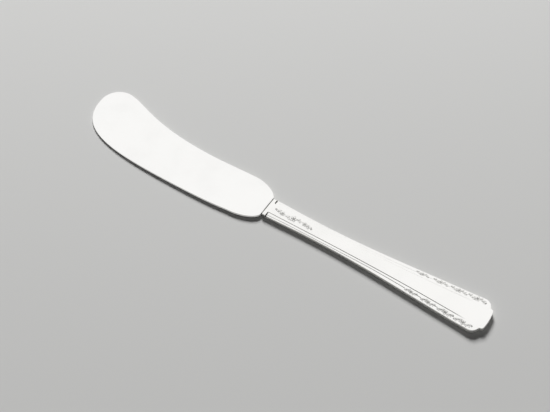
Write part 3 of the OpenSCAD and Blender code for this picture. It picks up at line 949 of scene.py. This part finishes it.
def spray_tree():
    """Raised petals and leaves on points, and rounded stems along edges."""
    tree, given, made = new_group(
        "struck_spray", "GeometryNodeTree",
        [("Points", "Geometry", None), ("Stems", "Object", None),
         ("Mark sides", "Int", MARK_SIDES), ("Mark rings", "Int", MARK_RINGS),
         ("Stem radius", "Float", STEM_R * MM), ("Stem sides", "Int", STEM_SIDES),
         ("Finish", "Material", None)],
        [("Spray", "Geometry")],
    )

    def attribute(title, kind="FLOAT"):
        read = node(tree, "GeometryNodeInputNamedAttribute", {"Name": title}, data_type=kind)
        return read.outputs["Attribute"]

    def stored(geometry, value):
        inputs = {"Geometry": geometry, "Name": "tarnish", "Value": value}
        kind = "GeometryNodeStoreNamedAttribute"
        return node(tree, kind, inputs, data_type="FLOAT", domain="POINT").outputs["Geometry"]

    def mark_shape(narrowing):
        """Domed mark one unit in each half axis; its width is multiplied by a curve along its length."""
        sides = {"Segments": given.outputs["Mark sides"], "Rings": given.outputs["Mark rings"]}
        dome = node(tree, "GeometryNodeMeshUVSphere", sides)
        place = node(tree, "GeometryNodeInputPosition").outputs[0]
        x, y, z = node(tree, "ShaderNodeSeparateXYZ", {0: place}).outputs
        joined = node(tree, "ShaderNodeCombineXYZ", {
            "X": x, "Y": calc(tree, "MULTIPLY", y, narrowing(x)), "Z": z})
        move = node(tree, "GeometryNodeSetPosition", {
            "Geometry": dome.outputs["Mesh"], "Position": joined.outputs[0]})
        foot = calc(tree, "SUBTRACT", 1.0, ramp(tree, z, FOOT_FROM, FOOT_TO))
        return stored(move.outputs["Geometry"], foot)

    def round_end(x):
        return calc(tree, "MULTIPLY_ADD", x, PETAL_FLARE, PETAL_MID_W)

    def pointed_end(x):
        return calc(tree, "SQRT", calc(tree, "SUBTRACT", 1.0, calc(tree, "MULTIPLY", x, x), clamp=True))

    turn = node(tree, "ShaderNodeCombineXYZ", {"Z": attribute("turn")})
    parts = []
    for pointed, narrowing in enumerate((round_end, pointed_end)):
        sought = {"A": attribute("pointed"), "B": pointed, "Epsilon": 0.5}
        chosen = node(tree, "FunctionNodeCompare", sought, data_type="FLOAT", operation="EQUAL")
        placed = node(tree, "GeometryNodeInstanceOnPoints", {
            "Points": given.outputs["Points"], "Selection": chosen.outputs[0],
            "Instance": mark_shape(narrowing), "Rotation": turn.outputs[0],
            "Scale": attribute("size", "FLOAT_VECTOR"),
        })
        parts.append(placed.outputs["Instances"])

    stems = node(tree, "GeometryNodeObjectInfo", {"Object": given.outputs["Stems"]})
    paths = node(tree, "GeometryNodeMeshToCurve", {"Mesh": stems.outputs["Geometry"]})
    section = node(tree, "GeometryNodeCurvePrimitiveCircle", {
        "Radius": given.outputs["Stem radius"], "Resolution": given.outputs["Stem sides"]})
    swept = node(tree, "GeometryNodeCurveToMesh", {
        "Curve": paths.outputs["Curve"], "Profile Curve": section.outputs["Curve"], "Fill Caps": True})
    parts.append(stored(swept.outputs["Mesh"], STEM_TARNISH))

    join = node(tree, "GeometryNodeJoinGeometry")
    for part in parts:
        tree.links.new(part, join.inputs[0])
    real = node(tree, "GeometryNodeRealizeInstances", {0: join.outputs[0]})
    even = node(tree, "GeometryNodeSetShadeSmooth", {"Geometry": real.outputs[0]})
    finish = node(tree, "GeometryNodeSetMaterial", {
        "Geometry": even.outputs[0], "Material": given.outputs["Finish"]})
    feed(tree, made, {"Spray": finish.outputs[0]})
    return tree


def ground_height(x, y):
    """Height of the ground that a mark stands on, low enough that no mark rises above the handle's end."""
    height = handle_top(x) - border_drop(x, abs(y)) * relief_left(x) - GROUND_DIP
    return min(height, front_high[2] - MARK_RISE)


def on_ground(points):
    """Points on the handle as places in the row frame, in metres."""
    heights = [ground_height(x, y) for x, y in points]
    return (np.column_stack([points, heights]) + (NECK_X, CENTRE_Y, 0)) * MM


def make_spray(name, tree, marks, stems, finish):
    """Runs the spray tree on its points and stems, and keeps the result as a plain mesh."""
    edges, places, first = [], [], 0
    for line in stems:
        places.append(on_ground(line))
        edges += [(first + k, first + k + 1) for k in range(len(line) - 1)]
        first += len(line)
    stem_lines = in_scene(name + "_stems", new_mesh(name + "_stems", np.vstack(places), edges, []))

    mesh = new_mesh(name + "_points", on_ground(marks[:, :2]), [], [])
    store(mesh, "turn", marks[:, 2])
    store(mesh, "pointed", marks[:, 5])
    sizes = np.column_stack([marks[:, 3:5], np.full(len(marks), MARK_RISE)]) * MM
    store(mesh, "size", sizes, "FLOAT_VECTOR", "vector")
    carrier = in_scene(name + "_points", mesh)

    modifier = carrier.modifiers.new("spray", "NODES")
    modifier.node_group = tree
    sockets = {s.name: s.identifier for s in tree.interface.items_tree if s.in_out == "INPUT"}
    given = {
        "Stems": stem_lines, "Mark sides": MARK_SIDES, "Mark rings": MARK_RINGS,
        "Stem radius": STEM_R * MM, "Stem sides": STEM_SIDES, "Finish": finish,
    }
    for title, value in given.items():
        modifier[sockets[title]] = value
    plain = bpy.data.meshes.new_from_object(carrier.evaluated_get(bpy.context.evaluated_depsgraph_get()))
    plain.name = name
    for scratch in (carrier, stem_lines):
        bpy.data.objects.remove(scratch)
    return in_scene(name, plain)


# Pieces

silver_blade = silver("polished_blade_silver", BLADE_TONE, polish=0.14, wear=0.6, relief=0.006)
silver_handle = silver("struck_handle_silver", HANDLE_TONE, polish=0.16, wear=0.5, relief=0.006)
silver_back = silver("worn_back_silver", BACK_TONE, polish=0.2, wear=1.0, relief=0.008)

border = border_marks()
neck = set_down(*neck_spray(), place=(NECK_SPRAY_X, 0), turn=0, size=1)
struck = spray_tree()

pieces = (
    (make_blade(), "blade", "silver_blade", silver_blade),
    (make_collar(), "neck_collar", "silver_handle", silver_handle),
    (make_front([border, neck]), "handle_front", "silver_handle", silver_handle),
    (make_back(), "handle_back", "silver_handle", silver_back),
    (make_spray("border_sprays", struck, *border, silver_handle), None, "silver_handle", None),
    (make_spray("neck_spray", struck, *neck, silver_handle), None, "silver_handle", None),
)
for piece, replaced, slot, finish in pieces:
    if finish:
        piece.data.materials.append(finish)
    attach(piece, "root")
    if replaced:
        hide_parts(replaced)

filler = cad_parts["handle_filler"]
filler.data.materials.clear()
filler.data.materials.append(pitch())

# Camera at the photograph's angle, above the knife's near side

VIEW_TURN = math.radians(32.93)
VIEW_RISE = math.radians(53)
VIEW_REACH = 349.8
LENS, SENSOR_W = 70, 36
NEAREST_SEEN = 10
AIM_FROM_TIP, AIM_ACROSS = 76.76, 2.247
aim = Vector((TIP_X + AIM_FROM_TIP, CENTRE_Y + AIM_ACROSS, 0)) * MM
away = Vector((-math.sin(VIEW_TURN), math.cos(VIEW_TURN), 0))
aside = Vector((math.cos(VIEW_TURN), math.sin(VIEW_TURN), 0))
looking = away * math.cos(VIEW_RISE) - Vector((0, 0, math.sin(VIEW_RISE)))

camera_data = bpy.data.cameras.new("camera")
camera_data.lens = LENS
camera_data.sensor_width = SENSOR_W
camera_data.clip_start = NEAREST_SEEN * MM
camera = in_scene("camera", camera_data)
camera.location = aim - looking * VIEW_REACH * MM
camera.rotation_euler = looking.to_track_quat("-Z", "Y").to_euler()
bpy.context.scene.camera = camera

# Floor, in metres

FLOOR_SIZE = 6.0
FLOOR_DROP = 0.02 * MM
FLOOR_TONE = (0.66, 0.66, 0.65, 1)
FLOOR_ROUGHNESS, FLOOR_GLOSS = 0.9, 0.1


def make_floor():
    material, tree, surface = new_material("pale_floor")
    feed(tree, surface, {
        "Base Color": FLOOR_TONE, "Roughness": FLOOR_ROUGHNESS, "Specular IOR Level": FLOOR_GLOSS})
    corners = np.array([(-1, -1, 0), (1, -1, 0), (1, 1, 0), (-1, 1, 0)]) * FLOOR_SIZE / 2
    mesh = new_mesh("floor", corners - (0, 0, FLOOR_DROP), [], [(0, 1, 2, 3)])
    mesh.materials.append(material)
    return in_scene("floor", mesh)


make_floor()

# Light: a large soft lamp beyond the knife, and a room that is bright above and beyond it; in metres

LAMP_POWER = 36
LAMP_SIZE = 0.55
LAMP_REACH = 1.6
LAMP_RISE = math.radians(34)
LAMP_ASIDE = -0.07
ROOM_LIGHT = 0.055
# What metal sees on the near side, and where that fades, as parts of the way beyond the knife
NEAR_TONE = 0.36
NEAR_FROM, NEAR_TO = -0.6, -0.1


def make_lamp():
    data = bpy.data.lights.new("window_lamp", "AREA")
    data.energy = LAMP_POWER
    data.shape = "SQUARE"
    data.size = LAMP_SIZE
    lamp = in_scene("window_lamp", data)
    level = (away + aside * LAMP_ASIDE).normalized()
    way = level * math.cos(LAMP_RISE) + Vector((0, 0, math.sin(LAMP_RISE)))
    lamp.location = aim + way * LAMP_REACH
    lamp.rotation_euler = (-way).to_track_quat("-Z", "Y").to_euler()
    lamp.visible_glossy = False


def make_room():
    """Plain white to the camera; metal sees it white beyond and above, and grey on the near side."""
    world = bpy.data.worlds.new("studio")
    world.use_nodes = True
    tree = world.node_tree
    tree.nodes.clear()
    direction = node(tree, "ShaderNodeTexCoord").outputs["Generated"]
    beyond = node(tree, "ShaderNodeVectorMath", {0: direction, 1: away}, operation="DOT_PRODUCT")
    seen = shift(tree, ramp(tree, beyond.outputs["Value"], NEAR_FROM, NEAR_TO), NEAR_TONE, 1.0)
    path = node(tree, "ShaderNodeLightPath")
    glossy = shift(tree, path.outputs["Is Glossy Ray"], ROOM_LIGHT, seen)
    strength = shift(tree, path.outputs["Is Camera Ray"], glossy, 1.0)
    background = node(tree, "ShaderNodeBackground", {"Color": (1, 1, 1, 1), "Strength": strength})
    node(tree, "ShaderNodeOutputWorld", {"Surface": background.outputs[0]})
    bpy.context.scene.world = world


make_lamp()
make_room()
bpy.context.scene.view_settings.view_transform = "Standard"
